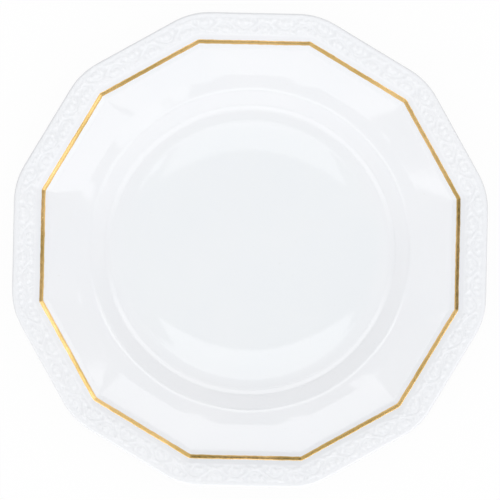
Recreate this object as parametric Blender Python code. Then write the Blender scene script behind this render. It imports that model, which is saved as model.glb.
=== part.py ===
"""Twelve-sided china dinner plate: a biscuit body, its two glaze coats and a fired gold line.

Units are metres, +Z up. The origin is the middle of the face that the foot ring stands on, and
the middles of four sides face +X, +Y, -X and -Y.

The finished surface is a row of stations that runs from the middle of the well, over the edge and
back to the middle of the underside. Each station is a level outline, a regular polygon with
rounded corners. The glaze follows that surface, the biscuit body lies under the glaze and is bare
where the foot ring stands, and the gold line lies on the glaze.
"""

import math
from collections import namedtuple

import bmesh
import bpy

# Count
SIDES = 12

# Sizes across, each from one feature to the next, at the middle of a side
FLOOR_RADIUS = 0.0773
SHOULDER_RUN = 0.0102
COLLAR_RUN = 0.0080
PANEL_RUN = 0.0138
RISER_RUN = 0.0035
GOLD_WIDTH = 0.0022
GOLD_MARGIN = 0.0018
COVE_RUN = 0.0028
BORDER_RUN = 0.0104

# Foot ring, set in from the edge of the floor
FOOT_INSET = 0.0013
FOOT_ROOT_WIDTH = 0.0050
FOOT_STANDING_WIDTH = 0.0024

# Heights, each from one feature to the next
RECESS_DEPTH = 0.0030
BASE_THICKNESS = 0.0042
WELL_SAG = 0.0024
SHOULDER_RISE = 0.0051

# Slopes as rise over run: the floor's brow over the foot ring, the collar at the verge, the panels, the
# gold line and its margin, and the border
BROW_SLOPE = 0.055
COLLAR_SLOPE = 0.22
PANEL_SLOPE = 0.158
GOLD_SLOPE = 0.45
BORDER_SLOPE = 0.12

# Walls, square through the body and its glaze
SHOULDER_WALL = 0.0044
RIM_WALL = 0.0036
EDGE_WALL = 0.0024

# Roundings
HEEL_BLEND = 0.0016
VERGE_BLEND = 0.0024
COLLAR_BLEND = 0.0012
PANEL_CORNER_RADIUS = 0.0500
RISER_CORNER_RADIUS = 0.0018
GOLD_CORNER_RADIUS = 0.0015
COVE_CORNER_RADIUS = 0.0060
BORDER_CORNER_RADIUS = 0.0160
EDGE_CORNER_RADIUS = 0.0400

# Layers. A gap parts each layer from the next.
GLAZE_THICKNESS = 0.0003
GOLD_THICKNESS = 0.0002
LAYER_GAP = 0.0001
GLAZE_STOP_HEIGHT = 0.0010

# Steps along the curves of the profile, and round one side, from its corner to past its middle
WELL_SHARES = (0.45, 0.75, 0.9, 1.0)
WELL_SAG_POWER = 3.8
BLEND_STEPS = 2
LIP_STEPS = 4
SIDE_SHARES = (-1, -5 / 6, -2 / 3, -1 / 3, 0, 1 / 3, 2 / 3, 5 / 6)

# Edges that fold by more than this are shaded sharp
SHARP_ANGLE = math.radians(40)

# Derived sizes
foot_radius = FLOOR_RADIUS - FOOT_INSET - FOOT_ROOT_WIDTH / 2
recess_radius = foot_radius - FOOT_ROOT_WIDTH / 2
verge_radius = FLOOR_RADIUS + SHOULDER_RUN
panel_radius = verge_radius + COLLAR_RUN
riser_radius = panel_radius + PANEL_RUN
gold_inner_radius = riser_radius + RISER_RUN
gold_outer_radius = gold_inner_radius + GOLD_WIDTH
cove_radius = gold_outer_radius + GOLD_MARGIN
border_radius = cove_radius + COVE_RUN
edge_radius = border_radius + BORDER_RUN

middle_height = RECESS_DEPTH + BASE_THICKNESS
floor_height = middle_height + WELL_SAG + BROW_SLOPE * (FLOOR_RADIUS - recess_radius)
verge_height = floor_height + SHOULDER_RISE

shoulder_slope = SHOULDER_RISE / SHOULDER_RUN

# Places on the rim with their slopes. The slope changes evenly from each place to the next.
rim_slopes = (
    (verge_radius, COLLAR_SLOPE),
    (panel_radius - COLLAR_BLEND, COLLAR_SLOPE),
    (panel_radius, PANEL_SLOPE),
    (riser_radius, PANEL_SLOPE),
    (gold_inner_radius, GOLD_SLOPE),
    (cove_radius, GOLD_SLOPE),
    (border_radius, BORDER_SLOPE),
    (edge_radius, BORDER_SLOPE),
)

# A level outline: the distance from the axis to the middle of a side, the radius of the rounded
# corners, and the height. An outline whose corner radius equals its inradius is a circle.
Station = namedtuple("Station", "inradius corner_radius height")

# Directions in the profile, as out and up
UP = (0.0, 1.0)
DOWN = (0.0, -1.0)


def circle(radius, height):
    """A round station."""
    return Station(radius, radius, height)


def outline(station):
    """The points of a station's rounded polygon, counterclockwise from a corner."""
    half_side = math.pi / SIDES
    flat_radius = station.inradius - station.corner_radius
    arc_middle = flat_radius / math.cos(half_side)
    tangent_angle = math.atan2(flat_radius * math.tan(half_side), station.inradius)
    points = []
    for side in range(SIDES):
        for share in SIDE_SHARES:
            from_middle = half_side * share
            from_corner = half_side - abs(from_middle)
            if abs(from_middle) <= tangent_angle:
                reach = station.inradius / math.cos(from_middle)
            else:
                across = arc_middle * math.sin(from_corner)
                reach = arc_middle * math.cos(from_corner)
                reach += math.sqrt(station.corner_radius ** 2 - across ** 2)
            angle = 2 * half_side * side + from_middle
            points.append((reach * math.cos(angle), reach * math.sin(angle), station.height))
    return points


def moved(station, out, up):
    """A station moved out, with its corners kept parallel, and up."""
    return Station(station.inradius + out, station.corner_radius + out, station.height + up)


def below(station, slope, wall):
    """The station on the underside, square through the wall from one of the face."""
    angle = math.atan(slope)
    return moved(station, wall * math.sin(angle), -wall * math.cos(angle))


def sunk(stations, depth, first_cap=None, last_cap=None):
    """The stations moved into the body by depth, square to the profile.

    A cap is the normal, out and up, of the flat face that the row begins or ends at, if it has one.
    """
    normals = []
    for start, end in zip(stations, stations[1:]):
        run = end.inradius - start.inradius
        rise = end.height - start.height
        length = math.hypot(run, rise)
        normals.append((-rise / length, run / length))
    normals = [first_cap or normals[0], *normals, last_cap or normals[-1]]
    result = []
    for station, before, after in zip(stations, normals, normals[1:]):
        spread = 1 + before[0] * after[0] + before[1] * after[1]
        out = -depth * (before[0] + after[0]) / spread
        up = -depth * (before[1] + after[1]) / spread
        result.append(moved(station, out, up))
    return result


def blend(start, corner, end):
    """Points of out and height along a curve that rounds off a corner of the profile."""
    points = []
    for step in range(BLEND_STEPS + 1):
        share = step / BLEND_STEPS
        weights = ((1 - share) ** 2, 2 * share * (1 - share), share ** 2)
        weighted = list(zip(weights, (start, corner, end)))
        points.append([sum(weight * point[axis] for weight, point in weighted) for axis in (0, 1)])
    return points


def rim_at(radius):
    """The height and the slope of the rim's face at a distance from the axis, in the middle of a side."""
    height = verge_height
    for (start, start_slope), (end, end_slope) in zip(rim_slopes, rim_slopes[1:]):
        reached = min(radius, end)
        slope = start_slope + (end_slope - start_slope) * (reached - start) / (end - start)
        height += (reached - start) * (start_slope + slope) / 2
        if radius <= end:
            break
    return height, slope


def rim_station(radius, corner_radius):
    """A station on the face of the rim."""
    return Station(radius, corner_radius, rim_at(radius)[0])


def panel_stations():
    """The rim panels where the collar ends, and where the riser begins."""
    start = rim_station(panel_radius, PANEL_CORNER_RADIUS)
    return [start, rim_station(riser_radius, RISER_CORNER_RADIUS)]


def gold_seat():
    """The two stations that the gold line runs between."""
    inner = rim_station(gold_inner_radius, GOLD_CORNER_RADIUS)
    return [inner, moved(inner, GOLD_WIDTH, GOLD_WIDTH * GOLD_SLOPE)]


def cove_stations():
    """The start of the cove outside the gold line, and its end at the border."""
    start = rim_station(cove_radius, COVE_CORNER_RADIUS)
    return [start, rim_station(border_radius, BORDER_CORNER_RADIUS)]


def rim_stations():
    """The face of the rim from the start of the panels to the border."""
    return panel_stations() + gold_seat() + cove_stations()


def well_stations(level):
    """The sagging middle of the floor or of the recess, from the middle outwards."""
    return [
        circle(share * recess_radius, level + WELL_SAG * share ** WELL_SAG_POWER) for share in WELL_SHARES
    ]


def face_stations():
    """The face, from the middle of the well to the crest of the border."""
    shoulder_length = math.hypot(SHOULDER_RUN, SHOULDER_RISE)
    heel = (FLOOR_RADIUS, floor_height)
    verge = (verge_radius, verge_height)

    def on_shoulder(corner, distance):
        share = distance / shoulder_length
        return (corner[0] + share * SHOULDER_RUN, corner[1] + share * SHOULDER_RISE)

    heel_start = (FLOOR_RADIUS - HEEL_BLEND, floor_height - BROW_SLOPE * HEEL_BLEND)
    heel_curve = blend(heel_start, heel, on_shoulder(heel, HEEL_BLEND))
    panel_start = (verge_radius + VERGE_BLEND, rim_at(verge_radius + VERGE_BLEND)[0])
    verge_curve = blend(on_shoulder(verge, -VERGE_BLEND), verge, panel_start)
    stations = well_stations(middle_height)
    stations += [circle(*point) for point in heel_curve + verge_curve]
    return stations + rim_stations()


def lip_stations():
    """The rounded edge, from the face of the border to its underside."""
    tilt = math.atan(BORDER_SLOPE)
    lip_radius = EDGE_WALL / 2
    top_out = edge_radius - lip_radius - lip_radius * math.sin(tilt)
    middle_out = edge_radius - lip_radius
    middle_up = rim_at(top_out)[0] - lip_radius * math.cos(tilt)
    edge = Station(middle_out, EDGE_CORNER_RADIUS - lip_radius, middle_up)
    stations = []
    for step in range(LIP_STEPS + 1):
        angle = math.pi / 2 + tilt - math.pi * step / LIP_STEPS
        stations.append(moved(edge, lip_radius * math.cos(angle), lip_radius * math.sin(angle)))
    return stations


def back_stations():
    """The back, from the border's underside to where the glaze stops outside the foot ring."""
    verge = circle(verge_radius, verge_height)
    heel = circle(FLOOR_RADIUS, floor_height)
    root = circle(foot_radius + FOOT_ROOT_WIDTH / 2, floor_height - SHOULDER_WALL)
    return [
        *[below(station, rim_at(station.inradius)[1], RIM_WALL) for station in reversed(rim_stations())],
        below(verge, shoulder_slope, SHOULDER_WALL),
        below(heel, shoulder_slope, SHOULDER_WALL),
        root,
        foot_wall(root),
    ]


def foot_wall(root):
    """The station on a side of the foot ring at the height where the glaze stops."""
    side = math.copysign(1, root.inradius - foot_radius)
    standing = foot_radius + side * FOOT_STANDING_WIDTH / 2
    share = GLAZE_STOP_HEIGHT / root.height
    lean = root.inradius - standing
    return circle(standing + side * (GLAZE_THICKNESS + LAYER_GAP) + share * lean, GLAZE_STOP_HEIGHT)


def standing_stations():
    """The bare standing face of the foot ring, from outside to inside."""
    half = FOOT_STANDING_WIDTH / 2
    return [circle(foot_radius + half, 0.0), circle(foot_radius - half, 0.0)]


def recess_stations():
    """The recess inside the foot ring, from where its glaze stops to the middle."""
    ceiling = list(reversed(well_stations(RECESS_DEPTH)))
    return [foot_wall(ceiling[0])] + ceiling


def coated_rows(depth):
    """The outer coat's row and the recess coat's row of stations, sunk by depth."""
    outer = face_stations() + lip_stations() + back_stations()
    recess = recess_stations()
    return sunk(outer, depth, first_cap=UP), sunk(recess, depth, last_cap=DOWN)


def new_material(name, colour, roughness, metallic):
    """A Principled material of one colour."""
    material = bpy.data.materials.new(name)
    material.use_nodes = True
    shader = material.node_tree.nodes["Principled BSDF"]
    shader.inputs["Base Color"].default_value = (*colour, 1.0)
    shader.inputs["Roughness"].default_value = roughness
    shader.inputs["Metallic"].default_value = metallic
    return material


def join_rings(mesh, start, end, grows):
    """Two triangles for each step round from ring start to ring end, alike on all layers.

    The diagonals run from the wider ring's points towards the middles of the sides.
    """
    for here in range(len(start)):
        there = (here + 1) % len(start)
        past_middle = SIDE_SHARES[here % len(SIDE_SHARES)] >= 0
        if grows == past_middle:
            mesh.faces.new((start[here], end[here], end[there]))
            mesh.faces.new((start[here], end[there], start[there]))
        else:
            mesh.faces.new((start[here], end[here], start[there]))
            mesh.faces.new((end[here], end[there], start[there]))


def new_solid(name, stations, material, parent, closed_ring=False):
    """A closed body through a row of stations, which begins and ends in flat caps or in itself."""
    mesh = bmesh.new()
    rings = [[mesh.verts.new(point) for point in outline(station)] for station in stations]
    pairs = list(zip(range(len(rings)), range(1, len(rings))))
    if closed_ring:
        pairs.append((len(rings) - 1, 0))
    else:
        mesh.faces.new(rings[0])
        mesh.faces.new(reversed(rings[-1]))
    for start, end in pairs:
        join_rings(mesh, rings[start], rings[end], stations[start].inradius < stations[end].inradius)
    data = bpy.data.meshes.new(name)
    mesh.to_mesh(data)
    mesh.free()
    data.shade_smooth()
    data.set_sharp_from_angle(angle=SHARP_ANGLE)
    data.materials.append(material)
    solid = bpy.data.objects.new(name, data)
    solid.parent = parent
    bpy.context.scene.collection.objects.link(solid)


def build_biscuit_body(parent):
    """The porcelain body: under the glaze everywhere but on the foot ring's standing face."""
    outer, recess = coated_rows(GLAZE_THICKNESS + LAYER_GAP)
    biscuit = new_material("biscuit", (0.86, 0.84, 0.80), 0.75, 0.0)
    new_solid("biscuit_body", outer + standing_stations() + recess, biscuit, parent)


def build_glaze(parent):
    """The two glaze coats, which the bare standing face parts from each other."""
    outer_face, recess_face = coated_rows(0.0)
    outer_back, recess_back = coated_rows(GLAZE_THICKNESS)
    glaze = new_material("glaze", (0.84, 0.87, 0.89), 0.08, 0.0)
    new_solid("glaze_coat", outer_face + list(reversed(outer_back)), glaze, parent)
    new_solid("foot_recess_glaze", list(reversed(recess_back)) + recess_face, glaze, parent)


def build_gold_line(parent):
    """The gold line, lying on the glaze."""
    top = sunk(gold_seat(), -(LAYER_GAP + GOLD_THICKNESS))
    bottom = sunk(gold_seat(), -LAYER_GAP)
    gold = new_material("gold", (0.80, 0.58, 0.22), 0.25, 1.0)
    new_solid("gold_line", top + list(reversed(bottom)), gold, parent, closed_ring=True)


def main():
    for old in list(bpy.data.objects):
        bpy.data.objects.remove(old)
    plate = bpy.data.objects.new("plate", None)
    bpy.context.scene.collection.objects.link(plate)
    build_biscuit_body(plate)
    build_glaze(plate)
    build_gold_line(plate)


main()
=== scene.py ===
"""The look of the twelve-sided china dinner plate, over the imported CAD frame.

Units are metres, +Z up. Every piece is a closed shell through rings. A ring is a level outline, a
twelve-sided polygon with rounded corners, as in the part's source. The border carries a shallow
relief of a running leaf scroll, which the biscuit body and the glaze over it share.
"""

import math
from collections import namedtuple

import bpy
import numpy as np
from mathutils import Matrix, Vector


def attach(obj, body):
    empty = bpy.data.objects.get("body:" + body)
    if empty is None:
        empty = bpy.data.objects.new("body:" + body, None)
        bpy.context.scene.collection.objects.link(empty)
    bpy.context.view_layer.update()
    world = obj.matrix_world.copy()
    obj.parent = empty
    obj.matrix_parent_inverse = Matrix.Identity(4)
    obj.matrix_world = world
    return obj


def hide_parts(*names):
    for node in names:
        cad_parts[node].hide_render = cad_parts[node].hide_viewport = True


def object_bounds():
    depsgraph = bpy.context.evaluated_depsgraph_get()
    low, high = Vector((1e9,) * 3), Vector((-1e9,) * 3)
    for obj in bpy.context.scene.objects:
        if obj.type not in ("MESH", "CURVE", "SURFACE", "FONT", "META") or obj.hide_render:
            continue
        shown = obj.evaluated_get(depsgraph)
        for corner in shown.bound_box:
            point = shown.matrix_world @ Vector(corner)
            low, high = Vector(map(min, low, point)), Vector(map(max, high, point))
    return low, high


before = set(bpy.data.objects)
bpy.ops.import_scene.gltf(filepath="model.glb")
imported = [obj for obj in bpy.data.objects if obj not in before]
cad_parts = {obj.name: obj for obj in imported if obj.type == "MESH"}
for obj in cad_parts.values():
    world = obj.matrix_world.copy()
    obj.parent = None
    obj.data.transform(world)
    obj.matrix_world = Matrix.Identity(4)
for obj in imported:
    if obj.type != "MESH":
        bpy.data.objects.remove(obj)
cad_low, cad_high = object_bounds()

# Sizes repeated from the part's source
SIDES = 12
FLOOR_RADIUS = 0.0773
SHOULDER_RUN = 0.0102
COLLAR_RUN = 0.0080
PANEL_RUN = 0.0138
RISER_RUN = 0.0035
GOLD_WIDTH = 0.0022
GOLD_MARGIN = 0.0018
COVE_RUN = 0.0028
BORDER_RUN = 0.0104
FOOT_INSET = 0.0013
FOOT_ROOT_WIDTH = 0.0050
FOOT_STANDING_WIDTH = 0.0024
RECESS_DEPTH = 0.0030
BASE_THICKNESS = 0.0042
WELL_SAG = 0.0024
SHOULDER_RISE = 0.0051
BROW_SLOPE = 0.055
COLLAR_SLOPE = 0.22
PANEL_SLOPE = 0.158
GOLD_SLOPE = 0.45
BORDER_SLOPE = 0.12
SHOULDER_WALL = 0.0044
RIM_WALL = 0.0036
EDGE_WALL = 0.0024
VERGE_BLEND = 0.0024
COLLAR_BLEND = 0.0012
PANEL_CORNER_RADIUS = 0.0500
RISER_CORNER_RADIUS = 0.0018
GOLD_CORNER_RADIUS = 0.0015
COVE_CORNER_RADIUS = 0.0060
BORDER_CORNER_RADIUS = 0.0160
EDGE_CORNER_RADIUS = 0.0400
GLAZE_THICKNESS = 0.0003
LAYER_GAP = 0.0001
GLAZE_STOP_HEIGHT = 0.0010
WELL_SAG_POWER = 3.8

# Sizes worked out from them as in the part's source
HALF_SIDE = math.pi / SIDES
foot_radius = FLOOR_RADIUS - FOOT_INSET - FOOT_ROOT_WIDTH / 2
recess_radius = foot_radius - FOOT_ROOT_WIDTH / 2
verge_radius = FLOOR_RADIUS + SHOULDER_RUN
panel_radius = verge_radius + COLLAR_RUN
riser_radius = panel_radius + PANEL_RUN
gold_inner_radius = riser_radius + RISER_RUN
gold_outer_radius = gold_inner_radius + GOLD_WIDTH
cove_radius = gold_outer_radius + GOLD_MARGIN
border_radius = cove_radius + COVE_RUN
edge_radius = border_radius + BORDER_RUN
middle_height = RECESS_DEPTH + BASE_THICKNESS
floor_height = middle_height + WELL_SAG + BROW_SLOPE * (FLOOR_RADIUS - recess_radius)
verge_height = floor_height + SHOULDER_RISE
shoulder_slope = SHOULDER_RISE / SHOULDER_RUN
lip_radius = EDGE_WALL / 2
lip_tilt = math.atan(BORDER_SLOPE)
crest_radius = edge_radius - lip_radius * (1 + math.sin(lip_tilt))

# The bend below the gold: how far outside the riser's start it begins and ends
RISER_BEND_START = 0.0006
RISER_BEND_END = 0.0015

# The margin outside the gold, a little flatter than the gold: how soon it starts, and how far into the
# cove it goes on
MARGIN_SLOPE = 0.38
MARGIN_BEND = 0.0003
MARGIN_OVERRUN = 0.0007

# The rim's slope changes evenly from each of these places to the next
RIM_SLOPES = (
    (verge_radius, COLLAR_SLOPE),
    (panel_radius - COLLAR_BLEND / 3, COLLAR_SLOPE),
    (panel_radius + COLLAR_BLEND * 2 / 3, PANEL_SLOPE),
    (riser_radius + RISER_BEND_START, PANEL_SLOPE),
    (riser_radius + RISER_BEND_END, GOLD_SLOPE),
    (gold_outer_radius, GOLD_SLOPE),
    (gold_outer_radius + MARGIN_BEND, MARGIN_SLOPE),
    (cove_radius + MARGIN_OVERRUN, MARGIN_SLOPE),
    (border_radius, BORDER_SLOPE),
    (edge_radius, BORDER_SLOPE),
)

# How far the bends below and above the shoulder lie outside the solid's corners
HEEL_SHIFT = 0.0013
VERGE_SHIFT = 0.0005

# The bend below the shoulder: the runs of its three parts, and the slopes where they meet
HEEL_RUNS = (0.0008, 0.0023, 0.0010)
HEEL_SLOPES = (0.24, 0.322)

# The bend above the shoulder: shares of its blend that lie inside and outside the corner
VERGE_INSIDE = 0.5
VERGE_OUTSIDE = 0.8

# The well's sag gives way to the brow's slope from just inside the recess's edge to just outside it
SAG_END = 0.0016
BROW_START = 0.0014

# The collar's corners stay round for longer with a higher power
COLLAR_POWER = 1.7

# Roundings of the back and of the recess's root, and the most of a stretch that one may take up
BACK_ROUNDING = 0.0024
ROOT_ROUNDING = 0.0010
ROUNDING_LIMIT = 0.45

# The bare foot's eased edges: their height, and how far they lean out as a share of it
FOOT_EASE = 0.0003
FOOT_LEAN = 0.4

# Rings in the well and over the recess: first radius, last radius and count
WELL_MIDDLE = (0.004, 0.036, 9)
WELL_OUTER = (0.039, 0.068, 11)
WELL_BROW = (0.0688, 0.0728, 9)
RECESS_CEILING = (0.0690, 0.0040, 16)

# Rings on the rim: distance of the first from the stretch's start, and count
COLLAR_FIRST = 0.0006
COLLAR_RINGS = 13
PANEL_FIRST = 0.0026
PANEL_RINGS = 8
RISER_FIRST = 0.0004
RISER_RINGS = 10
MARGIN_RINGS = 6
RELIEF_RINGS = 32

# Steps along each bend, places of the rings between two bends, and samples of the well's slope
HEEL_STEPS = 15
VERGE_STEPS = 9
LIP_STEPS = 8
BACK_STEPS = 3
ROOT_STEPS = 5
SHOULDER_SHARES = (0.33, 0.67)
SLOPE_SAMPLES = 1600

# Columns round one side, in each kind of ring
WELL_COLUMNS = 10
PANEL_COLUMNS = 20
BORDER_COLUMNS = 96
HIDDEN_COLUMNS = 48
BACK_COLUMNS = 18
UNDER_COLUMNS = 10
GOLD_COLUMNS = 90

# How far columns crowd to the corners, from 0, evenly spread, to 1
EVEN = 0.0
FACE_CROWDING = 1.0
BACK_CROWDING = 0.6
GOLD_CROWDING = 0.7

# Edges that bend by more than this are shaded sharp
SHARP_ANGLE = math.radians(40)

# The border's relief, measured out from the gold line's outer edge
RELIEF_START = 0.0034
RELIEF_END = 0.0124
RELIEF_EDGE = 0.0008
RELIEF_SINK = 0.00012
RELIEF_HEIGHT = 0.00066
RELIEF_SOFTENING = 0.00036
WAVES_PER_SIDE = 3
SEED = 20

# Below the surface the relief is lower and softer
HIDDEN_HEIGHT = 0.65 * RELIEF_HEIGHT
HIDDEN_SOFTENING = 2 * RELIEF_SOFTENING

# Marks that the glaze's colour follows: 0 in the relief's hollows, where glaze pools and painted shade
# darkens it,
#  and 1 on crests, which are painted lighter
PLAIN_MARK = 0.6
# The cove's low mark darkens the glaze there: partly pooled glaze, partly painted shade
POOLED_AND_SHADED_COVE_MARK = 0.1

# The gold as it is seen: a film just above the glaze, with sharper corners than the solid's and edges
# drawn by hand, which drift in waves, so many of each kind round the plate
GOLD_LIFT = 0.00004
GOLD_FILM = 0.00006
GOLD_WANDER = 0.00007
GOLD_CORNER_SHARE = 0.5
WANDER_COUNTS = (17, 31, 53, 97, 151)

# The film's section: shares of its width and thickness on top, and of its width underneath
GOLD_TOP = ((0.0, 0.3), (0.08, 0.9), (0.5, 1.0), (0.92, 0.9), (1.0, 0.3))
GOLD_UNDERSIDE = (1.0, 0.5, 0.0)

# Camera: straight above, turned as the photograph is. The image is taken to be 500 pixels wide.
IMAGE_PIXELS = 500
PLATE_PIXELS = 474.2
CAMERA_HEIGHT = 3.0
CAMERA_TURN = math.radians(1.2)
SENSOR_WIDTH = 36.0

# A level outline of the profile: distance to the middle of a side, corner radius and height
Ring = namedtuple("Ring", "inradius corner_radius height")


def smoothstep(low, high, value):
    share = np.clip((value - low) / (high - low), 0.0, 1.0)
    return share * share * (3 - 2 * share)


def risen(slopes, places):
    """Heights above the first place, along a profile with these slopes."""
    rises = (slopes[1:] + slopes[:-1]) / 2 * np.diff(places)
    return np.concatenate([[0.0], np.cumsum(rises)])


def circle(radius, height):
    return Ring(radius, radius, height)


def moved(ring, out, up):
    return Ring(ring.inradius + out, ring.corner_radius + out, ring.height + up)


def side_angles(columns, crowding):
    """Angles from a side's middle, from its corner on. Crowding draws them to the corners."""
    even = np.linspace(-1, 1, columns, endpoint=False)
    return HALF_SIDE * ((1 - crowding) * even + crowding * np.sin(even * math.pi / 2))


def all_turns(angles):
    """Turns about the axis, all the way round, from the angles of one side."""
    middles = np.repeat(np.arange(SIDES) * 2 * HALF_SIDE, len(angles))
    return middles + np.tile(angles, SIDES)


def reaches(ring, angles):
    """Distances from the axis to a ring's rounded outline, at angles from a side's middle."""
    flat = ring.inradius - ring.corner_radius
    arc_middle = flat / math.cos(HALF_SIDE)
    tangent_angle = math.atan2(flat * math.tan(HALF_SIDE), ring.inradius)
    from_corner = HALF_SIDE - np.abs(angles)
    across = arc_middle * np.sin(from_corner)
    rounded = arc_middle * np.cos(from_corner)
    rounded = rounded + np.sqrt(np.maximum(ring.corner_radius ** 2 - across ** 2, 0.0))
    return np.where(np.abs(angles) <= tangent_angle, ring.inradius / np.cos(angles), rounded)


def ring_points(ring, angles):
    """A ring's points, all the way round."""
    reach = np.tile(reaches(ring, angles), SIDES)
    turns = all_turns(angles)
    height = np.full(len(turns), ring.height)
    return np.stack([reach * np.cos(turns), reach * np.sin(turns), height], axis=1)


def sunk(rings, depth, first_cap=None, last_cap=None):
    """The rings moved into the body by depth, square to the profile."""
    normals = []
    for start, end in zip(rings, rings[1:]):
        run = end.inradius - start.inradius
        rise = end.height - start.height
        length = math.hypot(run, rise)
        normals.append((-rise / length, run / length))
    normals = [first_cap or normals[0], *normals, last_cap or normals[-1]]
    result = []
    for ring, before, after in zip(rings, normals, normals[1:]):
        spread = 1 + before[0] * after[0] + before[1] * after[1]
        out = -depth * (before[0] + after[0]) / spread
        up = -depth * (before[1] + after[1]) / spread
        result.append(moved(ring, out, up))
    return result


def curve(start, corner, end, steps):
    """Points along a curve that rounds off a corner of the profile."""
    shares = np.linspace(0, 1, steps + 1)[:, None]
    ends = (1 - shares) ** 2 * np.array(start) + shares ** 2 * np.array(end)
    return ends + 2 * shares * (1 - shares) * np.array(corner)


def heel_curve(corner, shoulder):
    """Points of the bend below the shoulder, from the brow's slope to the shoulder's.

    Its middle part turns slowly and mirrors the room's bright band as one broad ring.
    """
    places = np.concatenate([[0.0], np.cumsum(HEEL_RUNS)])
    out = np.linspace(0, places[-1], HEEL_STEPS + 1)
    rise = risen(np.interp(out, places, (BROW_SLOPE, *HEEL_SLOPES, shoulder)), out)
    reach = (shoulder * out[-1] - rise[-1]) / (shoulder - BROW_SLOPE)
    start = corner - reach * np.array((1.0, BROW_SLOPE))
    return start + np.stack([out, rise], axis=1)


def rim_slope(radius):
    radii, slopes = zip(*RIM_SLOPES)
    return float(np.interp(radius, radii, slopes))


def rim_height(radius):
    """The height of the rim's face at the middle of a side."""
    height = verge_height
    for (start, start_slope), (end, _) in zip(RIM_SLOPES, RIM_SLOPES[1:]):
        if radius > start:
            stop = min(radius, end)
            height += (stop - start) * (start_slope + rim_slope(stop)) / 2
    return height


def panel_corner(radius):
    """Corner radius along the panels: a circle at the verge, nearly sharp ridges at the riser."""
    if radius < panel_radius:
        share = max((radius - verge_radius) / COLLAR_RUN, 0.0) ** COLLAR_POWER
        return verge_radius + (PANEL_CORNER_RADIUS - verge_radius) * share
    places = (panel_radius, riser_radius, gold_inner_radius)
    corners = (PANEL_CORNER_RADIUS, RISER_CORNER_RADIUS, GOLD_CORNER_RADIUS)
    return float(np.interp(radius, places, corners))


def well_rings(level, radii):
    """The sagging middle of the floor or of the recess. It levels out gently over the foot ring."""
    fine = np.linspace(0, FLOOR_RADIUS, SLOPE_SAMPLES)
    brow_share = smoothstep(recess_radius - SAG_END, recess_radius + BROW_START, fine)
    slope = WELL_SAG * WELL_SAG_POWER / recess_radius * (fine / recess_radius) ** (WELL_SAG_POWER - 1)
    slope = slope + (BROW_SLOPE - slope) * brow_share
    rise = risen(slope, fine)
    heights = level + floor_height - middle_height + np.interp(radii, fine, rise) - rise[-1]
    return [circle(radius, height) for radius, height in zip(radii.tolist(), heights.tolist())]


def shoulder_points():
    """Points of the profile from the brow over the shoulder to the collar."""
    heel = np.array((FLOOR_RADIUS + HEEL_SHIFT, floor_height + HEEL_SHIFT * BROW_SLOPE))
    verge = np.array((verge_radius + VERGE_SHIFT, rim_height(verge_radius + VERGE_SHIFT)))
    along = (verge - heel) / np.linalg.norm(verge - heel)
    collar_start = verge[0] + VERGE_OUTSIDE * VERGE_BLEND
    verge_start = verge - along * VERGE_INSIDE * VERGE_BLEND
    verge_end = (collar_start, rim_height(collar_start))
    lower = heel_curve(heel, along[1] / along[0])
    upper = curve(verge_start, verge, verge_end, VERGE_STEPS)
    middle = lower[-1] + (upper[0] - lower[-1]) * np.array(SHOULDER_SHARES)[:, None]
    return np.concatenate([lower, middle, upper])


def face_rings():
    """The face from the middle of the well to the gold line's inner edge, as (ring, columns)."""
    rings = []
    for stretch, columns in (
        (WELL_MIDDLE, WELL_COLUMNS),
        (WELL_OUTER, PANEL_COLUMNS),
        (WELL_BROW, PANEL_COLUMNS),
    ):
        rings += [(ring, columns) for ring in well_rings(middle_height, np.linspace(*stretch))]
    shoulder = shoulder_points()
    for radius, height in shoulder:
        corner = radius if radius < verge_radius else panel_corner(radius)
        rings.append((Ring(radius, corner, height), PANEL_COLUMNS))
    collar = np.linspace(shoulder[-1, 0] + COLLAR_FIRST, panel_radius + COLLAR_BLEND, COLLAR_RINGS)
    panel = np.linspace(panel_radius + PANEL_FIRST, riser_radius, PANEL_RINGS)
    riser = np.linspace(riser_radius + RISER_FIRST, gold_inner_radius, RISER_RINGS)
    for radius in np.concatenate([collar, panel, riser]).tolist():
        rings.append((Ring(radius, panel_corner(radius), rim_height(radius)), PANEL_COLUMNS))
    return rings


def border_ring(from_gold):
    """A ring of the border, at a distance out from the gold line's outer edge."""
    radius = gold_outer_radius + from_gold
    crest_corner = EDGE_CORNER_RADIUS - (edge_radius - crest_radius)
    places = (gold_outer_radius, cove_radius, border_radius, crest_radius)
    corners = (GOLD_CORNER_RADIUS + GOLD_WIDTH, COVE_CORNER_RADIUS, BORDER_CORNER_RADIUS, crest_corner)
    corner = np.interp(radius, places, corners)
    return Ring(radius, corner, rim_height(radius))


def lip_rings():
    """The rounded edge, after the border's face, to its underside."""
    middle_up = rim_height(crest_radius) - lip_radius * math.cos(lip_tilt)
    edge = Ring(edge_radius - lip_radius, EDGE_CORNER_RADIUS - lip_radius, middle_up)
    rings = []
    for angle in np.linspace(math.pi / 2 + lip_tilt, lip_tilt - math.pi / 2, LIP_STEPS + 1):
        rings.append(moved(edge, lip_radius * math.cos(angle), lip_radius * math.sin(angle)))
    return rings[1:]


def below(ring, slope, wall):
    """A ring of the back, under a ring of the face that has this slope."""
    angle = math.atan(slope)
    return moved(ring, wall * math.sin(angle), -wall * math.cos(angle))


def between(start, end, share):
    return Ring(*(s + (e - s) * share for s, e in zip(start, end)))


def foot_wall(root):
    """Where the glaze stops on the foot ring's wall, on the same side of the ring as its root."""
    side = math.copysign(1, root.inradius - foot_radius)
    standing = foot_radius + side * FOOT_STANDING_WIDTH / 2
    share = GLAZE_STOP_HEIGHT / root.height
    lean = root.inradius - standing
    return circle(standing + side * (GLAZE_THICKNESS + LAYER_GAP) + share * lean, GLAZE_STOP_HEIGHT)


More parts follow.
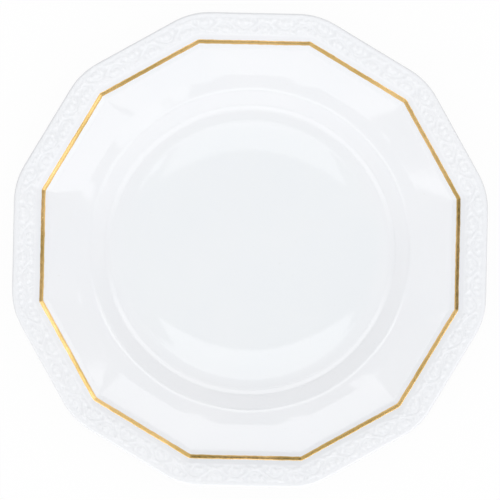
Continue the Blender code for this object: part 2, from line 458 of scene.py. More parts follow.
def rounded_row(rings, reach, steps):
    """The rings with each inner corner of their profile rounded off over a short reach."""
    result = [rings[0]]
    for before, corner, after in zip(rings, rings[1:], rings[2:]):
        ends = []
        for other in (before, after):
            length = math.hypot(other.inradius - corner.inradius, other.height - corner.height)
            ends.append(between(corner, other, min(reach, ROUNDING_LIMIT * length) / length))
        points = curve(ends[0], corner, ends[1], steps)
        result += [Ring(*point) for point in points.tolist()]
    return result + [rings[-1]]


def back_rings():
    """The back, from the border's underside to where the glaze stops outside the foot ring."""
    outer = []
    for radius, corner in (
        (border_radius, BORDER_CORNER_RADIUS),
        (cove_radius, COVE_CORNER_RADIUS),
        (gold_outer_radius, GOLD_CORNER_RADIUS + GOLD_WIDTH),
        (gold_inner_radius, GOLD_CORNER_RADIUS),
        (riser_radius, RISER_CORNER_RADIUS),
        (panel_radius, PANEL_CORNER_RADIUS),
    ):
        outer.append(below(Ring(radius, corner, rim_height(radius)), rim_slope(radius), RIM_WALL))
    root = circle(foot_radius + FOOT_ROOT_WIDTH / 2, floor_height - SHOULDER_WALL)
    corners = [
        lip_rings()[-1],
        *outer,
        below(circle(verge_radius, verge_height), shoulder_slope, SHOULDER_WALL),
        below(circle(FLOOR_RADIUS, floor_height), shoulder_slope, SHOULDER_WALL),
        root,
        foot_wall(root),
    ]
    return rounded_row(corners, BACK_ROUNDING, BACK_STEPS)[1:]


def recess_rings():
    """The recess inside the foot ring, from where its glaze stops to the middle."""
    ceiling = well_rings(RECESS_DEPTH, np.linspace(*RECESS_CEILING))
    root = circle(recess_radius, RECESS_DEPTH + WELL_SAG)
    return rounded_row([foot_wall(root), root, ceiling[0]], ROOT_ROUNDING, ROOT_STEPS)[:-1] + ceiling


# The relief's own measures are in millimetres, along the border and across from its band's middle
MILLIMETRES = 1000
SIDE_LENGTH = 65.0
HALF_WAVE = SIDE_LENGTH / WAVES_PER_SIDE / 2
BAND_MIDDLE = MILLIMETRES * (RELIEF_START + RELIEF_END) / 2

# The stem, which swings from side to side
STEM_SWING = 2.7
STEM_HALF_WIDTH = 0.52
STEM_HEIGHT = 0.8

# Leaves of one half wave: foot along and across the wave, direction in degrees, length and width
LEAVES = (
    (1.4, -0.9, -62, 3.6, 1.9),
    (2.3, 1.5, 118, 3.2, 1.7),
    (4.6, 2.9, 160, 2.7, 1.5),
    (5.9, 3.0, 24, 2.9, 1.6),
    (8.3, 1.7, 70, 3.1, 1.7),
    (9.2, -0.6, -122, 3.4, 1.8),
    (7.7, -2.0, -38, 2.6, 1.5),
)
LEAF_POWER = 0.8
LEAF_LEAST_HALF = 0.02
LEAF_DEGREES_DRIFT = 7
LEAF_SIZE_DRIFT = 0.09
VEIN_DEPTH = 0.34
VEIN_HALF_WIDTH = 0.17
VEIN_START = 0.2

# The rosette in the hollow of each half wave. Its petals' reach and height have a fixed share and one
# that grows to the middle of a petal.
PETALS = 5
ROSETTE_RADIUS = 2.05
ROSETTE_ACROSS = -1.75
ROSETTE_DRIFT = (0.25, 0.15)
ROSETTE_DEGREES = 90
ROSETTE_DEGREES_DRIFT = 30
PETAL_REACH = (0.66, 0.34)
PETAL_HEIGHT = (0.55, 0.45)
PETAL_POWER = 0.6
PETAL_FOOT = (0.16, 0.5)
BOSS_HEIGHT = 1.05
BOSS_SHARE = 0.30

# The curl round the rosette: its turns and radii from start to end, and its half width, which thins
CURL_TURNS = (math.radians(205), math.radians(5))
CURL_RADII = (3.3, 2.5)
CURL_HALF_WIDTH = 0.46
CURL_THINNING = 0.16
CURL_LEAST_HALF = 0.1
CURL_HEIGHT = 0.72

# Berries: place along and across the wave, and radius
BERRIES = ((0.3, 3.6, 0.62), (1.2, 4.2, 0.55), (-0.6, 4.3, 0.5), (2.9, -4.2, 0.6), (8.2, -4.3, 0.6))
BERRY_HEIGHT = 0.8

# How far the leaves of one half wave reach into the next
OVERLAP = 4


def dome(distance):
    """A rounded hump, one in the middle and zero from a distance of one on."""
    return np.sqrt(np.maximum(1 - distance ** 2, 0.0))


def leaf(x, y, length, width):
    """A pointed leaf from the origin along x, with a vein down its middle."""
    along = np.clip(x / length, 0.0, 1.0)
    half = width / 2 * np.sin(math.pi * along ** LEAF_POWER) ** LEAF_POWER
    inside = (x > 0) & (x < length)
    body = dome(np.abs(y) / np.maximum(half, LEAF_LEAST_HALF)) * inside * (half / (width / 2)) ** 0.5
    groove = VEIN_DEPTH * np.exp(-(y / VEIN_HALF_WIDTH) ** 2)
    vein = groove * smoothstep(0.0, VEIN_START, along) * (1 - along)
    return np.maximum(body - vein * inside, 0.0)


def rosette(x, y, turn):
    """A flower of round petals about a small boss."""
    distance = np.hypot(x, y)
    petal = np.abs(np.cos(PETALS / 2 * (np.arctan2(y, x) - turn)))
    reach = ROSETTE_RADIUS * (PETAL_REACH[0] + PETAL_REACH[1] * petal ** PETAL_POWER)
    share = distance / reach
    height = PETAL_HEIGHT[0] + PETAL_HEIGHT[1] * petal
    petals = dome(share) * height * smoothstep(*PETAL_FOOT, share)
    boss = BOSS_HEIGHT * dome(distance / (BOSS_SHARE * ROSETTE_RADIUS))
    return np.maximum(petals, boss)


def curl(x, y):
    """A tendril about the origin that thins out to its end."""
    start_turn, end_turn = CURL_TURNS
    start_radius, end_radius = CURL_RADII
    low = min(CURL_TURNS)
    turn = low + np.mod(np.arctan2(y, x) - low, 2 * math.pi)
    share = (turn - start_turn) / (end_turn - start_turn)
    inside = (share >= 0) & (share <= 1)
    radius = start_radius + (end_radius - start_radius) * share
    half = np.maximum(CURL_HALF_WIDTH - CURL_THINNING * share, CURL_LEAST_HALF)
    return CURL_HEIGHT * dome((np.hypot(x, y) - radius) / half) * inside


def half_wave(x, y, wobble):
    """Height shares of the rosette, curl, leaves and berries of one half wave."""
    centre_x = HALF_WAVE / 2 + ROSETTE_DRIFT[0] * wobble[0, 0]
    centre_y = ROSETTE_ACROSS + ROSETTE_DRIFT[1] * wobble[0, 1]
    turn = math.radians(ROSETTE_DEGREES + ROSETTE_DEGREES_DRIFT * wobble[0, 2])
    shapes = [rosette(x - centre_x, y - centre_y, turn), curl(x - centre_x, y - centre_y)]
    for (foot_x, foot_y, degrees, length, width), drift in zip(LEAVES, wobble[1:]):
        direction = math.radians(degrees + LEAF_DEGREES_DRIFT * drift[0])
        size = 1 + LEAF_SIZE_DRIFT * drift[1]
        away_x = x - foot_x
        away_y = y - foot_y
        out = away_x * math.cos(direction) + away_y * math.sin(direction)
        side = away_y * math.cos(direction) - away_x * math.sin(direction)
        shapes.append(leaf(out, side, length * size, width))
    for berry_x, berry_y, radius in BERRIES:
        shapes.append(BERRY_HEIGHT * dome(np.hypot(x - berry_x, y - berry_y) / radius))
    return np.max(shapes, axis=0)


def scroll(along, across):
    """Height share of the leaf scroll, at places along the border and across its band.

    Each half wave draws a row of chances for its rosette, one for each leaf and one to spare.
    """
    chance = np.random.default_rng(SEED)
    wave = math.pi / HALF_WAVE
    stem_across = STEM_SWING * np.sin(wave * along)
    stem_lean = STEM_SWING * wave * np.cos(wave * along)
    from_stem = (across - stem_across) / np.sqrt(1 + stem_lean ** 2)
    height = STEM_HEIGHT * dome(from_stem / STEM_HALF_WIDTH)
    total = SIDE_LENGTH * SIDES
    for index in range(2 * WAVES_PER_SIDE * SIDES):
        flip = 1 if index % 2 == 0 else -1
        offset = np.mod(along - index * HALF_WAVE + total / 2, total) - total / 2
        near = np.flatnonzero((offset > -OVERLAP) & (offset < HALF_WAVE + OVERLAP))
        wobble = chance.uniform(-1, 1, (len(LEAVES) + 2, 3))
        found = half_wave(offset[near], across[near] * flip, wobble)
        height[near] = np.maximum(height[near], found)
    return height


def blur_weights(spacing, reach):
    """Offsets in rows or columns, each with its share in a blur over a reach."""
    steps = max(1, int(3 * reach / spacing))
    offsets = np.arange(-steps, steps + 1)
    weights = np.exp(-0.5 * (offsets * spacing / reach) ** 2)
    return list(zip(offsets, weights / weights.sum()))


def softened(field, spacing_along, spacing_across, reach):
    """The field blurred along the ring, which closes on itself, and across it."""
    along = sum(w * np.roll(field, o, axis=1) for o, w in blur_weights(spacing_along, reach))
    rows = np.arange(len(along))
    last = len(along) - 1
    return sum(w * along[np.clip(rows + o, 0, last)] for o, w in blur_weights(spacing_across, reach))


def border_relief(distances, angles, softening, height):
    """Lift in metres, and mark, over a grid of rows across and columns along the border."""
    sides = np.repeat(np.arange(SIDES), len(angles))
    side_shares = 0.5 + 0.5 * np.tile(np.tan(angles) / math.tan(HALF_SIDE), SIDES)
    along = np.tile((sides + side_shares) * SIDE_LENGTH, (len(distances), 1))
    across = np.repeat(distances * MILLIMETRES, len(sides)).reshape(along.shape) - BAND_MIDDLE
    share = scroll(along.ravel(), across.ravel()).reshape(along.shape)
    from_gold = distances[:, None]
    half_edge = RELIEF_EDGE / 2
    entered = smoothstep(RELIEF_START - half_edge, RELIEF_START + half_edge, from_gold)
    passed = smoothstep(RELIEF_END - half_edge, RELIEF_END + half_edge, from_gold)
    inside = entered * (1 - passed)
    spacing_along = SIDE_LENGTH / MILLIMETRES / len(angles)
    spacing_across = (distances[-1] - distances[0]) / (len(distances) - 1)
    share = softened(share * inside, spacing_along, spacing_across, softening)
    lift = share * height - inside * RELIEF_SINK
    return lift, share + (1 - inside) * PLAIN_MARK


# The glaze lies a little thicker in the well, which takes some of the red out of it. The tint fades
# from inside the recess's edge to outside the floor's.
WELL_TINT = (0.984, 0.997, 0.995)
TINT_INSIDE = 0.008
TINT_OUTSIDE = 0.004


class Shell:
    """A closed mesh built up from rings, each joined to the one before it."""

    def __init__(self):
        self.points = []
        self.marks = []
        self.faces = []
        self.count = 0
        self.rings = []
        self.turns = []

    def add(self, points, marks=None):
        start = self.count
        self.points.append(points)
        self.marks.append(np.full(len(points), PLAIN_MARK) if marks is None else marks)
        self.count += len(points)
        self.rings.append(list(range(start, self.count)))
        turns = np.unwrap(np.arctan2(points[:, 1], points[:, 0]))
        self.turns.append([*(turns - turns[0]).tolist(), 2 * math.pi])

    def add_rings(self, rings, columns, crowding):
        for ring in rings:
            self.add(ring_points(ring, side_angles(columns, crowding)))

    def join(self, first, second):
        """Faces between two rings that begin at the same corner, whatever their counts."""
        start = self.rings[first]
        end = self.rings[second]
        if len(start) == len(end):
            for here in range(len(start)):
                there = (here + 1) % len(start)
                self.faces.append((start[here], end[here], end[there], start[there]))
            return
        here = 0
        there = 0
        while here < len(start) or there < len(end):
            a = start[here % len(start)]
            b = end[there % len(end)]
            end_is_next = here >= len(start)
            if not end_is_next and there < len(end):
                end_is_next = self.turns[second][there + 1] <= self.turns[first][here + 1]
            if end_is_next:
                self.faces.append((a, b, end[(there + 1) % len(end)]))
                there += 1
            else:
                self.faces.append((a, b, start[(here + 1) % len(start)]))
                here += 1

    def cap(self, ring, height, outward):
        """A fan of faces from a ring to a point on the axis."""
        self.points.append(np.array([[0.0, 0.0, height]]))
        self.marks.append(np.array([PLAIN_MARK]))
        middle = self.count
        self.count += 1
        for here in range(len(ring)):
            there = (here + 1) % len(ring)
            face = (middle, ring[here], ring[there])
            self.faces.append(face if outward else face[::-1])

    def finish(self, name, material, ends=None):
        """The piece. Its two ends are capped at the heights given, or else joined to each other."""
        last = len(self.rings) - 1
        if ends:
            self.cap(self.rings[0], ends[0], True)
            self.cap(self.rings[last], ends[1], False)
        for number in range(last):
            self.join(number, number + 1)
        if not ends:
            self.join(last, 0)
        points = np.concatenate(self.points)
        from_axis = np.hypot(points[:, 0], points[:, 1])
        tint = 1 - smoothstep(recess_radius - TINT_INSIDE, FLOOR_RADIUS + TINT_OUTSIDE, from_axis)
        mesh = bpy.data.meshes.new(name)
        mesh.from_pydata(points.tolist(), [], self.faces)
        mesh.validate()
        for attribute, values in (("relief", np.concatenate(self.marks)), ("pool", tint)):
            mesh.attributes.new(attribute, "FLOAT", "POINT").data.foreach_set("value", values)
        mesh.shade_smooth()
        mesh.set_sharp_from_angle(angle=SHARP_ANGLE)
        mesh.materials.append(material)
        piece = bpy.data.objects.new(name, mesh)
        bpy.context.scene.collection.objects.link(piece)
        return piece


def add_border(shell, depth, reverse=False):
    """The border's rings, sunk by depth, from the gold line out or back in.

    Below the surface the relief is softer and lower, so that no layer breaks through another.
    """
    margin = np.linspace(0.0, RELIEF_START - RELIEF_EDGE, MARGIN_RINGS, endpoint=False)
    band = np.linspace(RELIEF_START - RELIEF_EDGE, RELIEF_END + RELIEF_EDGE / 2, RELIEF_RINGS)
    if depth > 0:
        band = band[::2]
        angles = side_angles(HIDDEN_COLUMNS, EVEN)
        lift, marks = border_relief(band, angles, HIDDEN_SOFTENING, HIDDEN_HEIGHT)
    else:
        angles = side_angles(BORDER_COLUMNS, EVEN)
        lift, marks = border_relief(band, angles, RELIEF_SOFTENING, RELIEF_HEIGHT)
    # The margin outside the gold takes the cove's low mark, so it is darkened: partly pooled glaze,
    # partly painted shade
    pooled_and_shaded = np.full(len(angles) * SIDES, POOLED_AND_SHADED_COVE_MARK)
    entries = [(distance, None, pooled_and_shaded) for distance in margin]
    entries += list(zip(band, lift, marks))
    entries.append((crest_radius - gold_outer_radius, None, None))
    for distance, rise, mark in reversed(entries) if reverse else entries:
        tilt = math.atan(rim_slope(gold_outer_radius + distance))
        ring = moved(border_ring(distance), depth * math.sin(tilt), -depth * math.cos(tilt))
        points = ring_points(ring, angles)
        if rise is not None:
            points[:, 2] += rise
        shell.add(points, mark)


def face_row(depth):
    """The face's rings up to the gold line, sunk by depth, with their columns."""
    rings, columns = zip(*face_rings())
    return list(zip(sunk(rings, depth, first_cap=(0.0, 1.0)), columns))


def outer_row(depth):
    """The lip's and the back's rings, sunk by depth."""
    start = border_ring(crest_radius - gold_outer_radius)
    return sunk([start] + lip_rings() + back_rings(), depth)[1:]


def sunk_recess(depth):
    """The recess's rings, sunk by depth."""
    return sunk(recess_rings(), depth, last_cap=(0.0, -1.0))


def add_outside(shell, depth):
    """The face, the border, the edge and the back, sunk by depth. Gives the height of its middle."""
    face = face_row(depth)
    for ring, columns in face:
        shell.add_rings([ring], columns, FACE_CROWDING)
    add_border(shell, depth)
    shell.add_rings(outer_row(depth), BACK_COLUMNS, BACK_CROWDING)
    return face[0][0].height


def build_glaze_coat(material):
    """The glaze's outside, and its underside with fewer rings and columns."""
    shell = Shell()
    top = add_outside(shell, 0.0)
    shell.add_rings(outer_row(GLAZE_THICKNESS)[::-1], UNDER_COLUMNS, BACK_CROWDING)
    add_border(shell, GLAZE_THICKNESS, reverse=True)
    under = face_row(GLAZE_THICKNESS)
    for ring, columns in under[::-2]:
        shell.add_rings([ring], columns // 2, FACE_CROWDING)
    return shell.finish("glaze_coat_look", material, (top, under[0][0].height))


def build_biscuit_body(material):
    """The body under the glaze, with the foot ring's bare standing face."""
    depth = GLAZE_THICKNESS + LAYER_GAP
    shell = Shell()
    top = add_outside(shell, depth)
    half = FOOT_STANDING_WIDTH / 2
    bare = [
        circle(foot_radius + half + FOOT_LEAN * FOOT_EASE, FOOT_EASE),
        circle(foot_radius + half - FOOT_EASE, 0.0),
        circle(foot_radius - half + FOOT_EASE, 0.0),
        circle(foot_radius - half - FOOT_LEAN * FOOT_EASE, FOOT_EASE),
    ]
    recess = sunk_recess(depth)
    shell.add_rings(bare + recess, BACK_COLUMNS, EVEN)
    return shell.finish("biscuit_body_look", material, (top, recess[-1].height))


def build_recess_glaze(material):
    """The glaze inside the foot ring: its upper side, and then the side that shows."""
    shell = Shell()
    upper = sunk_recess(GLAZE_THICKNESS)
    shown = recess_rings()
    shell.add_rings(upper[::-1] + shown, BACK_COLUMNS, EVEN)
    return shell.finish("foot_recess_glaze_look", material, (upper[-1].height, shown[-1].height))


def wander(turns, chance):
    """A slow drift along the line, the same at the end as at the start."""
    drift = np.zeros(len(turns))
    for count in WANDER_COUNTS:
        drift += np.sin(count * turns + chance.uniform(0, 2 * math.pi)) / math.sqrt(len(WANDER_COUNTS))
    return GOLD_WANDER * drift


def build_gold_line(material):
    """The gold film. Its edges drift a little, as a brush on a turning wheel leaves them."""
    chance = np.random.default_rng(SEED + 1)
    angles = side_angles(GOLD_COLUMNS, GOLD_CROWDING)
    turns = all_turns(angles)
    inner = wander(turns, chance)
    outer = wander(turns, chance)
    section = [(share, GOLD_LIFT + GOLD_FILM * rise) for share, rise in GOLD_TOP]
    section += [(share, GOLD_LIFT) for share in GOLD_UNDERSIDE]
    shell = Shell()
    for share, lift in section:
        out = GOLD_WIDTH * share
        corner = GOLD_CORNER_RADIUS * GOLD_CORNER_SHARE + out
        ring = Ring(gold_inner_radius + out, corner, rim_height(gold_inner_radius + out) + lift)
        points = ring_points(ring, angles)
        drift = (1 - share) * inner + share * outer
        points[:, 0] += drift * np.cos(turns)
        points[:, 1] += drift * np.sin(turns)
        points[:, 2] += drift * GOLD_SLOPE
        shell.add(points, np.full(len(points), share))
    return shell.finish("gold_line_look", material)


class Graph:
    """A node tree, with a short way to add each kind of node that is used often."""

    def __init__(self, tree):
        self.nodes = tree.nodes
        self.links = tree.links

    def feed(self, socket, value):
        """Set an input to another node's output, a colour or a number."""
        if isinstance(value, bpy.types.NodeSocket):
            self.links.new(value, socket)
        elif isinstance(value, tuple):
            socket.default_value = (*value, 1.0)
        else:
            socket.default_value = value

    def coordinates(self, kind):
        return self.nodes.new("ShaderNodeTexCoord").outputs[kind]

    def attribute(self, name):
        node = self.nodes.new("ShaderNodeAttribute")
        node.attribute_name = name
        return node.outputs["Fac"]

    def noise(self, where, scale, detail, roughness=0.5):
        node = self.nodes.new("ShaderNodeTexNoise")
        self.feed(node.inputs["Vector"], where)
        self.feed(node.inputs["Scale"], scale)
        self.feed(node.inputs["Detail"], detail)
        self.feed(node.inputs["Roughness"], roughness)
        return node.outputs["Fac"]

    def spread(self, value, low, high, from_low=0.3, from_high=0.7):
        """A number mapped from one range to another. Noise mostly lies in the default range."""
        node = self.nodes.new("ShaderNodeMapRange")
        self.feed(node.inputs["Value"], value)
        self.feed(node.inputs["From Min"], from_low)
        self.feed(node.inputs["From Max"], from_high)
        self.feed(node.inputs["To Min"], low)
        self.feed(node.inputs["To Max"], high)
        return node.outputs["Result"]

    def mixed(self, factor, first, second, blend="MIX"):
        """Two colours mixed by a factor. The node's colours are inputs 6 and 7, and output 2."""
        node = self.nodes.new("ShaderNodeMix")
        node.data_type = "RGBA"
        node.blend_type = blend
        self.feed(node.inputs[0], factor)
        self.feed(node.inputs[6], first)
        self.feed(node.inputs[7], second)
        return node.outputs[2]

    def tinted(self, colour, tint):
        return self.mixed(1.0, colour, tint, "MULTIPLY")

    def calculated(self, operation, *values):
        """The result of an operation on one or two numbers."""
        node = self.nodes.new("ShaderNodeMath")
        node.operation = operation
        for socket, value in zip(node.inputs, values):
            self.feed(socket, value)
        return node.outputs[0]

    def product(self, first, second):
        return self.calculated("MULTIPLY", first, second)

    def bump(self, height, strength, distance):
        node = self.nodes.new("ShaderNodeBump")
        self.feed(node.inputs["Height"], height)
        self.feed(node.inputs["Strength"], strength)
        self.feed(node.inputs["Distance"], distance)
        return node.outputs["Normal"]


def new_material(name):
    """A material, its graph and the inputs of its shader."""
    material = bpy.data.materials.new(name)
    material.use_nodes = True
    graph = Graph(material.node_tree)
    return material, graph, graph.nodes["Principled BSDF"].inputs


# Glaze: its colours in hollows, darker for pooled glaze and painted shade, on plain stretches, and on
# crests, lighter for thin glaze and painted light; the mark where the second is reached; and the
# colours of its faint clouds and specks
POOLED_AND_SHADED_HOLLOW_COLOUR = (0.862, 0.873, 0.897)
PLAIN_COLOUR = (0.884, 0.894, 0.917)
THIN_GLAZE_AND_LIT_CREST_COLOUR = (0.930, 0.933, 0.947)
COLOUR_MARK = 0.62
CLOUD_TINT = (0.985, 0.99, 0.995)
SPECK_COLOUR = (0.70, 0.69, 0.66)
GLAZE_IOR = 1.5


def glaze_material():
    """Clear, slightly cool glaze over white porcelain: pooled in the relief, with painted shade in its
    hollows and painted light on its crests, faintly uneven.
    """
    material, graph, inputs = new_material("glaze_look")
    where = graph.coordinates("Object")
    relief = graph.attribute("relief")
    # Painted shade and light: the relief's hollows and the cove are darkened, partly as pooled glaze,
    # and the crests are lightened
    plain = graph.spread(relief, 0.0, 1.0, 0.0, COLOUR_MARK)
    colour = graph.mixed(plain, POOLED_AND_SHADED_HOLLOW_COLOUR, PLAIN_COLOUR)
    crest = graph.spread(relief, 0.0, 1.0, COLOUR_MARK, 1.0)
    colour = graph.mixed(crest, colour, THIN_GLAZE_AND_LIT_CREST_COLOUR)
    cloud = graph.spread(graph.noise(where, scale=26.0, detail=3.0), 0.0, 1.0)
    colour = graph.mixed(cloud, colour, graph.tinted(colour, CLOUD_TINT))
    speck = graph.noise(where, scale=900.0, detail=0.0)
    speck = graph.spread(speck, low=0.0, high=0.22, from_low=0.86, from_high=0.89)
    colour = graph.mixed(speck, colour, SPECK_COLOUR)
    colour = graph.mixed(graph.attribute("pool"), colour, graph.tinted(colour, WELL_TINT))
    graph.feed(inputs["Base Color"], colour)
    gloss = graph.noise(where, scale=60.0, detail=4.0)
    graph.feed(inputs["Roughness"], graph.spread(gloss, low=0.018, high=0.034))
    graph.feed(inputs["IOR"], GLAZE_IOR)
    peel = graph.noise(where, scale=420.0, detail=2.0)
    graph.feed(inputs["Normal"], graph.bump(peel, strength=0.04, distance=0.0002))
    return material


# Biscuit: its clean and stained colours, and that of its dark grains
BISCUIT_COLOUR = (0.86, 0.84, 0.80)
STAIN_COLOUR = (0.80, 0.775, 0.73)
GRAIN_COLOUR = (0.70, 0.67, 0.62)
GRINDING_SCALE = 900.0
GRINDING_DISTORTION = 2.0
GRINDING_SHARE = 0.4


def biscuit_material():
    """Unglazed porcelain: matte, a little warm, with the rings left by grinding the foot."""
    material, graph, inputs = new_material("biscuit_look")
    where = graph.coordinates("Object")
    grain = graph.noise(where, scale=1400.0, detail=3.0, roughness=0.7)
    stain = graph.spread(graph.noise(where, scale=45.0, detail=4.0), 0.0, 1.0)
    colour = graph.mixed(stain, BISCUIT_COLOUR, STAIN_COLOUR)
    dark = graph.spread(grain, low=0.0, high=0.5, from_low=0.55, from_high=0.75)
    graph.feed(inputs["Base Color"], graph.mixed(dark, colour, GRAIN_COLOUR))
    graph.feed(inputs["Roughness"], graph.spread(grain, low=0.68, high=0.85))
    rings = graph.nodes.new("ShaderNodeTexWave")
    rings.wave_type = "RINGS"
    rings.rings_direction = "Z"
    graph.feed(rings.inputs["Vector"], where)
    graph.feed(rings.inputs["Scale"], GRINDING_SCALE)
    graph.feed(rings.inputs["Distortion"], GRINDING_DISTORTION)
    marks = graph.mixed(GRINDING_SHARE, grain, rings.outputs["Fac"])
    graph.feed(inputs["Normal"], graph.bump(marks, strength=0.25, distance=0.0001))
    return material


# Gold: its deep and pale tones, what the brush marks take away, and the colour of thin places
DEEP_GOLD = (0.655, 0.452, 0.165)
PALE_GOLD = (0.88, 0.60, 0.262)
BRUSH_TINT = (0.93, 0.92, 0.88)
THIN_GOLD = (0.58, 0.38, 0.15)


def gold_material():
    """Fired gold: brush marks, thin places, and changes of tone along the line."""
    material, graph, inputs = new_material("gold_look")
    where = graph.coordinates("Object")
    tone = graph.noise(where, scale=42.0, detail=1.0)
    tone = graph.spread(tone, low=0.0, high=1.0, from_low=0.36, from_high=0.64)
    colour = graph.mixed(tone, DEEP_GOLD, PALE_GOLD)
    brush = graph.spread(graph.noise(where, scale=160.0, detail=4.0, roughness=0.65), 0.0, 1.0)
    colour = graph.mixed(brush, graph.tinted(colour, BRUSH_TINT), colour)
    thin = graph.noise(where, scale=700.0, detail=3.0)
    thin = graph.spread(thin, low=0.0, high=0.55, from_low=0.62, from_high=0.78)
    graph.feed(inputs["Base Color"], graph.mixed(thin, colour, THIN_GOLD))
    graph.feed(inputs["Metallic"], 1.0)
    wear = graph.noise(where, scale=420.0, detail=4.0, roughness=0.7)
    graph.feed(inputs["Roughness"], graph.spread(wear, low=0.16, high=0.28))
    graph.feed(inputs["Normal"], graph.bump(wear, strength=0.12, distance=0.0001))
    return material


# Soft boxes overhead: west, east, south and north edges, and radiance
OVERHEAD_HEIGHT = 1.6
OVERHEAD = (
    ("front_near", -0.17, 0.16, -0.26, -0.118, 0.88),
    ("front_far", -0.235, 0.215, -0.40, -0.26, 1.2),
    ("front_right_near", 0.228, 0.44, -0.155, -0.125, 1.3),
    ("front_right_middle", 0.185, 0.44, -0.26, -0.155, 1.3),
    ("front_right_far", 0.215, 0.42, -0.50, -0.26, 1.3),
    ("left_front", -0.36, -0.272, -0.25, -0.185, 1.3),
    ("right_rear", 0.295, 0.37, 0.09, 0.155, 1.3),
    ("rear_near", -0.21, 0.15, 0.118, 0.20, 1.4),
    ("rear_far", -0.295, 0.215, 0.20, 0.40, 1.3),
)

# Other lamps: place, the point that each faces, width, depth, radiance and whether gloss mirrors it
LAMPS = (
    ("soft_box_right_front", (1.13, -0.68, 1.5), (0.0, 0.0, 0.0), 0.50, 0.28, 1.3, True),
    ("soft_box_right_rear", (1.13, 0.63, 1.5), (0.0, 0.0, 0.0), 0.50, 0.28, 1.35, True),
    ("front_low", (0.0, -2.2, 0.017), (0.0, 0.0, 0.017), 2.4, 0.03, 58.0, False),
    ("key", (0.1, -4.4, 1.6), (0.0, 0.0, 0.02), 2.8, 1.0, 4.6, False),
    ("fill", (0.0, 0.0, 1.7), (0.0, 0.0, 0.0), 2.4, 2.4, 0.412, False),
)


def area_light(name, place, aim, width, depth, radiance, mirrored):
    """A soft box with a given radiance, and whether glossy surfaces mirror it."""
    lamp = bpy.data.lights.new(name, "AREA")
    lamp.shape = "RECTANGLE"
    lamp.size = width
    lamp.size_y = depth
    lamp.energy = radiance * math.pi * width * depth
    box = bpy.data.objects.new(name, lamp)
    box.location = place
    direction = Vector(aim) - Vector(place)
    box.rotation_mode = "QUATERNION"
    box.rotation_quaternion = direction.to_track_quat("-Z", "Y")
    box.visible_camera = False
    box.visible_glossy = mirrored
    bpy.context.scene.collection.objects.link(box)


def build_lights():
    """Soft boxes overhead with gaps between them, two to the right, a low front, a key and a fill."""
    for name, west, east, south, north, radiance in OVERHEAD:
        middle = ((west + east) / 2, (south + north) / 2)
        place = (*middle, OVERHEAD_HEIGHT)
        area_light(name, place, (*middle, 0.0), east - west, north - south, radiance, True)
    for lamp in LAMPS:
        area_light(*lamp)


# The room's light by the sine of the height that it comes from: levels, and the sines they go with
ROOF_LEVELS = (1.14, 0.46)
ROOF_SINES = (0.5, 0.95)
WALL_LEVELS = (0.63, 1.0)
WALL_SINES = (0.28, 0.48)

# Small dark cards in the room, which the gold line mirrors: direction to each, and how dark it is
CARDS = (
    ((-0.695, 0.0, 0.719), 0.66),
    ((0.695, 0.0, 0.719), 0.48),
    ((0.0, 0.695, 0.719), 0.60),
    ((-0.335, 0.609, 0.719), 0.44),
    ((-0.594, 0.360, 0.719), 0.35),
)

# More such cards, which only reflections show
MIRRORED_CARDS = (
    ((-0.695, 0.0, 0.719), 0.60),
    ((-0.609, -0.335, 0.719), 0.28),
    ((0.0, -0.695, 0.719), 0.42),
    ((0.335, -0.609, 0.719), 0.34),
    ((0.0, 0.695, 0.719), 0.65),
)

# A card's soft edge, as cosines of the angle from its middle
CARD_EDGE = (0.984, 0.995)

# A bright band round the room that only reflections show: sines of height at its lower and upper edge,
# its levels from front to rear, and its soft ends to the left and right
BAND_LOWER_EDGE = (0.808, 0.832)
BAND_UPPER_EDGE = (0.893, 0.913)
BAND_LEVELS = (1.35, 2.1)
BAND_TURN = (-0.2, 0.2)
BAND_ENDS = (0.07, 0.24)


def shaded(graph, direction, level, cards):
    """The room's level, lowered about the direction to each card."""
    for card, depth in cards:
        facing = graph.nodes.new("ShaderNodeVectorMath")
        facing.operation = "DOT_PRODUCT"
        facing.inputs[1].default_value = Vector(card).normalized()
        graph.feed(facing.inputs[0], direction)
        level = graph.product(level, graph.spread(facing.outputs["Value"], 1.0, 1 - depth, *CARD_EDGE))
    return level


def mirrored_band(graph, north, up):
    """The level of the bright band, which is open to the left and right."""
    band = graph.spread(up, 0.0, 1.0, *BAND_LOWER_EDGE)
    band = graph.product(band, graph.spread(up, 1.0, 0.0, *BAND_UPPER_EDGE))
    band = graph.product(band, graph.spread(north, *BAND_LEVELS, *BAND_TURN))
    away = graph.calculated("ABSOLUTE", north)
    return graph.product(band, graph.spread(away, 0.0, 1.0, *BAND_ENDS))


def build_room():
    """A pale room. Reflections show a bright band and more cards than its light has."""
    world = bpy.data.worlds.new("room")
    world.use_nodes = True
    graph = Graph(world.node_tree)
    direction = graph.coordinates("Generated")
    split = graph.nodes.new("ShaderNodeSeparateXYZ")
    graph.feed(split.inputs[0], direction)
    north = split.outputs["Y"]
    up = split.outputs["Z"]
    level = graph.spread(up, *ROOF_LEVELS, *ROOF_SINES)
    level = graph.product(level, graph.spread(up, *WALL_LEVELS, *WALL_SINES))
    level = shaded(graph, direction, level, CARDS)
    mirrored = shaded(graph, direction, level, MIRRORED_CARDS)
    mirrored = graph.calculated("ADD", mirrored, mirrored_band(graph, north, up))
    choice = graph.nodes.new("ShaderNodeMix")
    graph.feed(choice.inputs[0], graph.nodes.new("ShaderNodeLightPath").outputs["Is Glossy Ray"])
    graph.feed(choice.inputs[2], level)
    graph.feed(choice.inputs[3], mirrored)
    background = graph.nodes["Background"].inputs
    graph.feed(background["Strength"], choice.outputs[0])
    graph.feed(background["Color"], (1.0, 1.0, 1.0))
    bpy.context.scene.world = world


# Floor: its size, its place just below the plate, its colours for stray light and for straight views,
# and the share of its own light that straight views see
FLOOR_HALF_WIDTH = 6.0
FLOOR_HEIGHT = -0.0001
FLOOR_ROUGHNESS = 0.9
FLOOR_GREY = (0.2, 0.2, 0.2)
FLOOR_WHITE = (0.9, 0.9, 0.9)
FLOOR_GLOW = 0.965


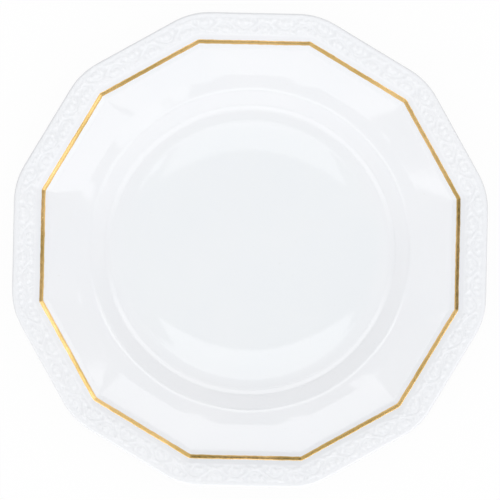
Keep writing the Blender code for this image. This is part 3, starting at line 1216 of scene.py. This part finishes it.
def floor_material():
    """White in straight views, which see part of its own light, so that it stays white but shadowed."""
    material, graph, inputs = new_material("floor_white")
    rays = graph.nodes.new("ShaderNodeLightPath").outputs
    straight = graph.calculated("MAXIMUM", rays["Is Camera Ray"], rays["Is Glossy Ray"])
    straight = graph.calculated("MAXIMUM", straight, rays["Is Transmission Ray"])
    graph.feed(inputs["Base Color"], graph.mixed(straight, FLOOR_GREY, FLOOR_WHITE))
    graph.feed(inputs["Roughness"], FLOOR_ROUGHNESS)
    graph.feed(inputs["Specular IOR Level"], 0.0)
    mix = graph.nodes.new("ShaderNodeMixShader")
    graph.feed(mix.inputs[0], graph.spread(straight, 0.0, FLOOR_GLOW, 0.0, 1.0))
    graph.feed(mix.inputs[1], graph.nodes["Principled BSDF"].outputs[0])
    graph.feed(mix.inputs[2], graph.nodes.new("ShaderNodeEmission").outputs[0])
    graph.feed(graph.nodes["Material Output"].inputs["Surface"], mix.outputs[0])
    return material


def build_floor():
    """A wide square floor under the plate."""
    signs = ((-1, -1), (1, -1), (1, 1), (-1, 1))
    corners = [(x * FLOOR_HALF_WIDTH, y * FLOOR_HALF_WIDTH, FLOOR_HEIGHT) for x, y in signs]
    mesh = bpy.data.meshes.new("floor")
    mesh.from_pydata(corners, [], [(0, 1, 2, 3)])
    mesh.materials.append(floor_material())
    floor = bpy.data.objects.new("floor", mesh)
    bpy.context.scene.collection.objects.link(floor)


def build_camera():
    """A camera whose frame is as wide as the photograph's, in the plane of the plate's top."""
    frame_width = 2 * edge_radius * IMAGE_PIXELS / PLATE_PIXELS
    data = bpy.data.cameras.new("camera")
    data.sensor_width = SENSOR_WIDTH
    data.lens = SENSOR_WIDTH * (CAMERA_HEIGHT - cad_high.z) / frame_width
    camera = bpy.data.objects.new("camera", data)
    camera.location = (0.0, 0.0, CAMERA_HEIGHT)
    camera.rotation_euler = (0.0, 0.0, CAMERA_TURN)
    bpy.context.scene.collection.objects.link(camera)
    bpy.context.scene.camera = camera


def dress(piece, node):
    """Show a piece in place of a CAD node."""
    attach(piece, "root")
    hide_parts(node)


glaze = glaze_material()
dress(build_biscuit_body(biscuit_material()), "biscuit_body")
dress(build_glaze_coat(glaze), "glaze_coat")
dress(build_recess_glaze(glaze), "foot_recess_glaze")
dress(build_gold_line(gold_material()), "gold_line")
build_floor()
build_lights()
build_room()
build_camera()
bpy.context.scene.view_settings.view_transform = "Standard"
